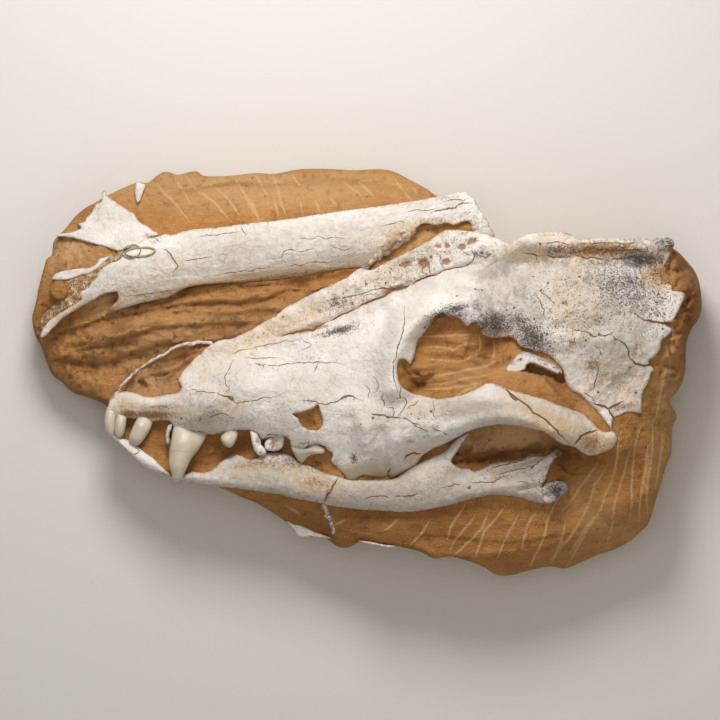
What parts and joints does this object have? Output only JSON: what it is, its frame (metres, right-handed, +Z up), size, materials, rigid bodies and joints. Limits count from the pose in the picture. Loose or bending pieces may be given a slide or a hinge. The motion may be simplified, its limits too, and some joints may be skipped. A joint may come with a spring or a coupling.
{
  "type": "dire wolf skull fossil",
  "caption": "Still, life-size dire wolf skull and lower jaw with a limb bone, half freed in a block of orange-brown sandstone that rests on its flat back.",
  "frame": {"origin": "middle of the block's bounding box, on the plane that the block rests on", "axes": "+X from the muzzle to the back of the head, +Y from the lower jaw to the roof of the skull, +Z up out of the block's show face"},
  "size_m": [0.337, 0.205, 0.0838],
  "materials": {
    "sandstone": "soft orange-brown sandstone, dug and scraped, matt",
    "fossil_bone": "dry cream-white fossil bone with fine brown cracks, matt",
    "spongy_bone": "brown, grainy spongy bone filled with sand, matt",
    "manganese_stain": "bone stained blue-black by manganese, matt",
    "enamel": "ivory tooth enamel, satin"
  },
  "bodies": {
    "root": {"sandstone_block": "sandstone", "premaxilla": "fossil_bone", "maxilla": "fossil_bone", "nasal_left": "fossil_bone", "nasal_right": "fossil_bone", "frontal_left": "fossil_bone", "frontal_right": "fossil_bone", "jugal": "fossil_bone", "zygomatic_process": "fossil_bone", "glenoid_process": "fossil_bone", "parietal": "fossil_bone", "sagittal_crest": "fossil_bone", "squamosal": "fossil_bone", "mastoid": "fossil_bone", "mandible_front": "fossil_bone", "mandible_rear": "fossil_bone", "limb_bone": "fossil_bone", "shard": "fossil_bone", "shard_chip": "fossil_bone", "splinter_upper": "fossil_bone", "splinter_lower": "fossil_bone", "ear_fragment": "fossil_bone", "edge_sliver": "fossil_bone", "rock_nodule": "fossil_bone", "spongy_bone": "spongy_bone", "crest_nodule": "manganese_stain", "canine": "enamel", "premolar_3": "enamel", "carnassial": "enamel"}
  },
  "joints": []
}
